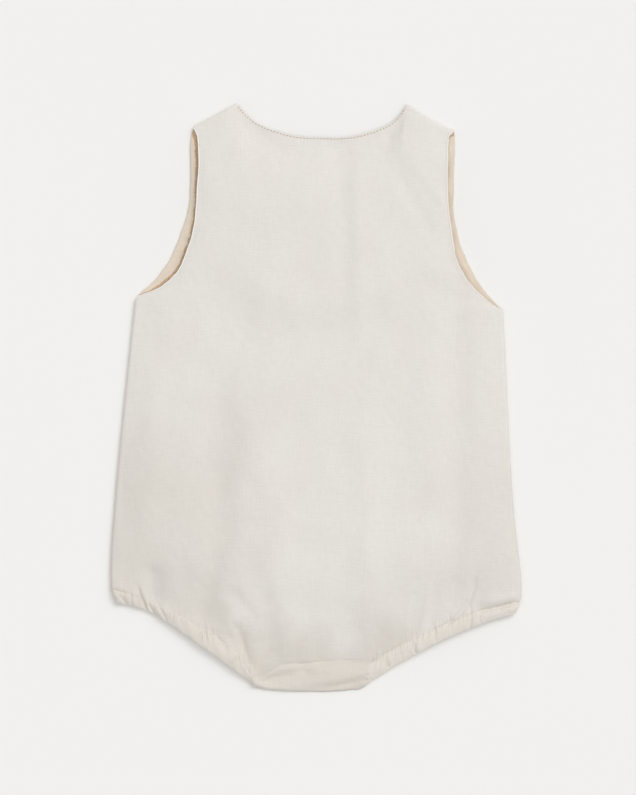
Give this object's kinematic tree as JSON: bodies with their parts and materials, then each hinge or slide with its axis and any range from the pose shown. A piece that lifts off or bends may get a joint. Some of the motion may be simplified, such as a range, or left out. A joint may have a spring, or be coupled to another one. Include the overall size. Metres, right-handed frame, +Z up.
{
  "type": "baby romper",
  "caption": "Sleeveless woven baby romper laid flat, back up, with a scooped neck, gathered leg casings and a crotch band.",
  "frame": {"origin": "on the ground, under the centre of the laid garment's box", "axes": "+Y from the crotch to the neck, +X to the right seen from above, +Z up out of the back panel"},
  "size_m": [0.2912, 0.42, 0.0151],
  "materials": {
    "linen": "matt plain-weave linen",
    "linen_band": "matt plain-weave linen, doubled",
    "facing": "matt tan cotton"
  },
  "bodies": {
    "root": {"back_panel": "linen", "front_panel": "linen", "leg_casing_left": "linen_band", "leg_casing_right": "linen_band", "crotch_band_back": "linen_band", "crotch_band_front": "linen_band", "armhole_facing_left": "facing", "armhole_facing_right": "facing"}
  },
  "joints": []
}
